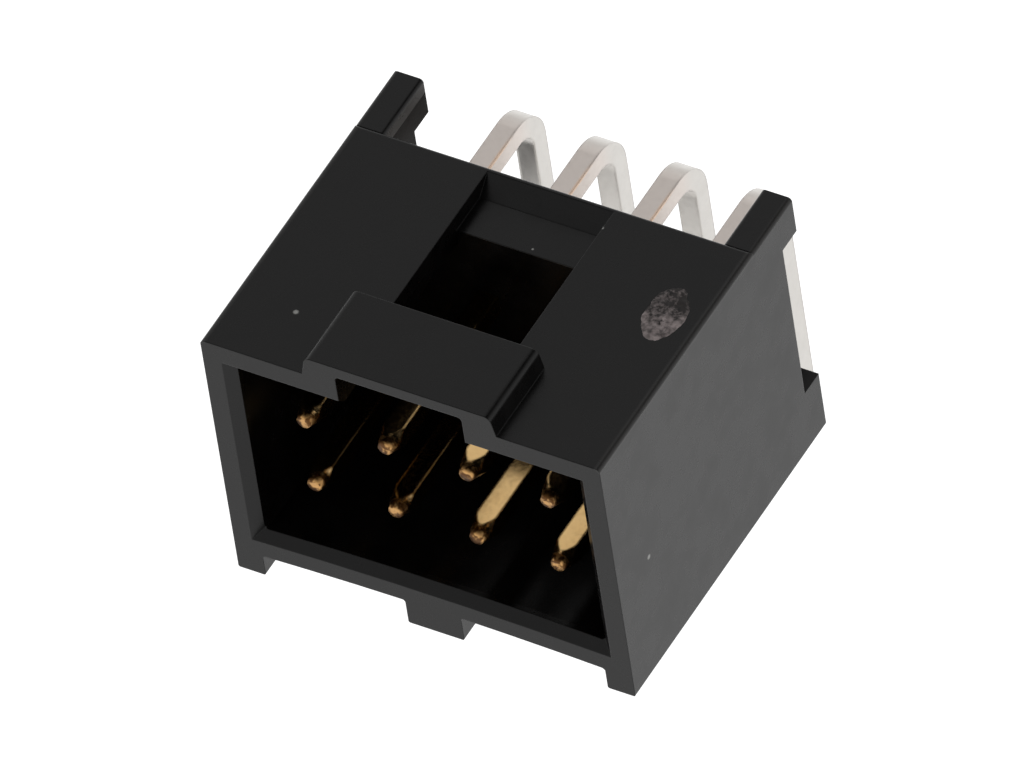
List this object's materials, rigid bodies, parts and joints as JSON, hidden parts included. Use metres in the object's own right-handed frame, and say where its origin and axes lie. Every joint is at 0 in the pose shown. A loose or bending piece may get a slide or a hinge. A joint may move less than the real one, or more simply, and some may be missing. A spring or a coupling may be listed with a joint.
{
  "type": "idc box header",
  "caption": "Right-angle box header: a black keyed shroud around rows of square contacts whose bent tails solder into a circuit board.",
  "frame": {"origin": "on the seating plane, in the middle of the centre rib's underside: half-way along the contact rows and half-way between the mating face and the body's rear face", "axes": "+X along the contact rows, +Y from the mating mouth back to the solder tails, +Z away from the board"},
  "size_m": [0.0098, 0.0108, 0.0105],
  "materials": {
    "housing": "black glass-filled nylon with a fine spark-eroded texture, softly satin at grazing angles",
    "contact": "square wire, gold flash over nickel in the mouth and bright tin on the bent legs and tails"
  },
  "bodies": {
    "root": {"housing": "housing", "contact_upper_1": "contact", "contact_upper_2": "contact", "contact_upper_3": "contact", "contact_upper_4": "contact", "contact_lower_1": "contact", "contact_lower_2": "contact", "contact_lower_3": "contact", "contact_lower_4": "contact"}
  },
  "joints": []
}
